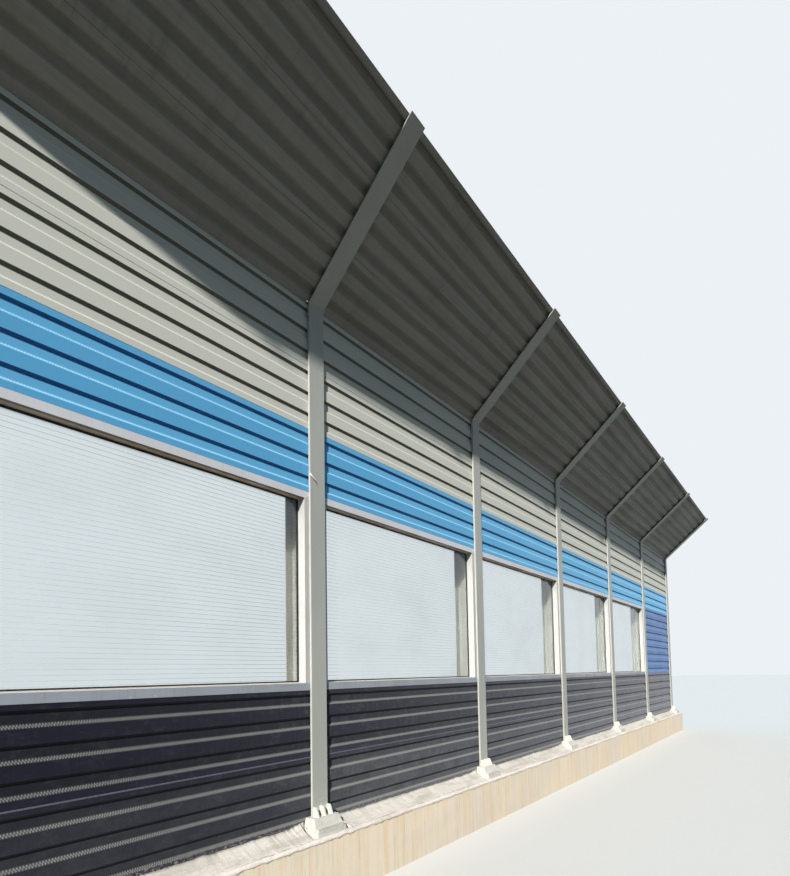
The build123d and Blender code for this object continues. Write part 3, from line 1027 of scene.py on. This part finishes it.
# The sky's light, with more of it from behind the barrier, where the sun doesn't reach
SKY_COLOUR = srgb(150, 192, 224)
SKY_STRENGTH = 0.42
REAR_SKY_STRENGTH = 1.3
REAR_SKY_FULL = 0.6
BACKDROP_COLOUR = srgb(236, 241, 246)
BACKDROP_STRENGTH = 1.0


def studio_world():
    world = bpy.data.worlds.new("studio")
    bpy.context.scene.world = world
    world.use_nodes = True
    nodes, links = world.node_tree.nodes, world.node_tree.links
    direction = nodes.new("ShaderNodeTexCoord")
    parts = nodes.new("ShaderNodeSeparateXYZ")
    links.new(direction.outputs["Generated"], parts.inputs[0])
    rearward = nodes.new("ShaderNodeMapRange")
    rearward.inputs["From Min"].default_value = 0.0
    rearward.inputs["From Max"].default_value = REAR_SKY_FULL
    rearward.inputs["To Min"].default_value = SKY_STRENGTH
    rearward.inputs["To Max"].default_value = REAR_SKY_STRENGTH
    links.new(parts.outputs[1], rearward.inputs["Value"])
    light = nodes["Background"]
    light.inputs["Color"].default_value = SKY_COLOUR
    links.new(rearward.outputs[0], light.inputs["Strength"])
    backdrop = nodes.new("ShaderNodeBackground")
    backdrop.inputs["Color"].default_value = BACKDROP_COLOUR
    backdrop.inputs["Strength"].default_value = BACKDROP_STRENGTH
    mixer = nodes.new("ShaderNodeMixShader")
    links.new(seen_share(nodes, links), mixer.inputs[0])
    links.new(light.outputs[0], mixer.inputs[1])
    links.new(backdrop.outputs[0], mixer.inputs[2])
    links.new(mixer.outputs[0], nodes["World Output"].inputs["Surface"])


# The sun, low in front of the near end of the row
SUN_TRAVEL = Vector((2.1, 1.0, -1.35))
SUN_STRENGTH = 6.85
SUN_SIZE = math.radians(2.0)
SUN_COLOUR = (1.0, 0.97, 0.92)


def key_light():
    lamp = bpy.data.lights.new("key", "SUN")
    lamp.energy = SUN_STRENGTH
    lamp.angle = SUN_SIZE
    lamp.color = SUN_COLOUR
    key = bpy.data.objects.new("key", lamp)
    key.rotation_euler = SUN_TRAVEL.to_track_quat("-Z", "Y").to_euler()
    bpy.context.scene.collection.objects.link(key)


# Camera at the photograph's viewing place, with the centre of its view as a pixel of the image
IMAGE_WIDTH = 790
IMAGE_HEIGHT = 876
VIEW_CENTRE = (410.8, 642.4)
FOCAL_PIXELS = 537.05
SENSOR_WIDTH = 36.0
VIEW_RANGE = 500
CAMERA_PLACE = Vector((-7.848, -3.156, 1.615))
YAW = 0.928
PITCH = 0.057
ROLL = -0.018


def camera_turn():
    """The camera's directions, from its yaw off the row's +Y, its pitch and its roll."""
    outward = Vector((math.sin(YAW), math.cos(YAW), 0.0))
    level = Vector((math.cos(YAW), -math.sin(YAW), 0.0))
    ahead = outward * math.cos(PITCH) + Vector((0.0, 0.0, math.sin(PITCH)))
    above = level.cross(ahead)
    right = level * math.cos(ROLL) + above * math.sin(ROLL)
    up = above * math.cos(ROLL) - level * math.sin(ROLL)
    return Matrix((right, up, -ahead)).transposed().to_4x4()


def photo_camera():
    camera_data = bpy.data.cameras.new("camera")
    camera_data.sensor_fit = "HORIZONTAL"
    camera_data.sensor_width = SENSOR_WIDTH
    camera_data.lens = FOCAL_PIXELS / IMAGE_WIDTH * SENSOR_WIDTH
    camera_data.shift_x = (IMAGE_WIDTH / 2 - VIEW_CENTRE[0]) / IMAGE_WIDTH
    camera_data.shift_y = (VIEW_CENTRE[1] - IMAGE_HEIGHT / 2) / IMAGE_WIDTH
    camera_data.clip_end = VIEW_RANGE
    camera = bpy.data.objects.new("camera", camera_data)
    camera.matrix_world = Matrix.Translation(CAMERA_PLACE) @ camera_turn()
    bpy.context.scene.collection.objects.link(camera)
    bpy.context.scene.camera = camera


finish_nodes()
pane_threads()
mortar_beds()
wall_sealant()
loose_strand()
plinth_rim()
weld_beads()
stage_floor()
studio_world()
key_light()
photo_camera()
bpy.context.scene.view_settings.view_transform = "Standard"
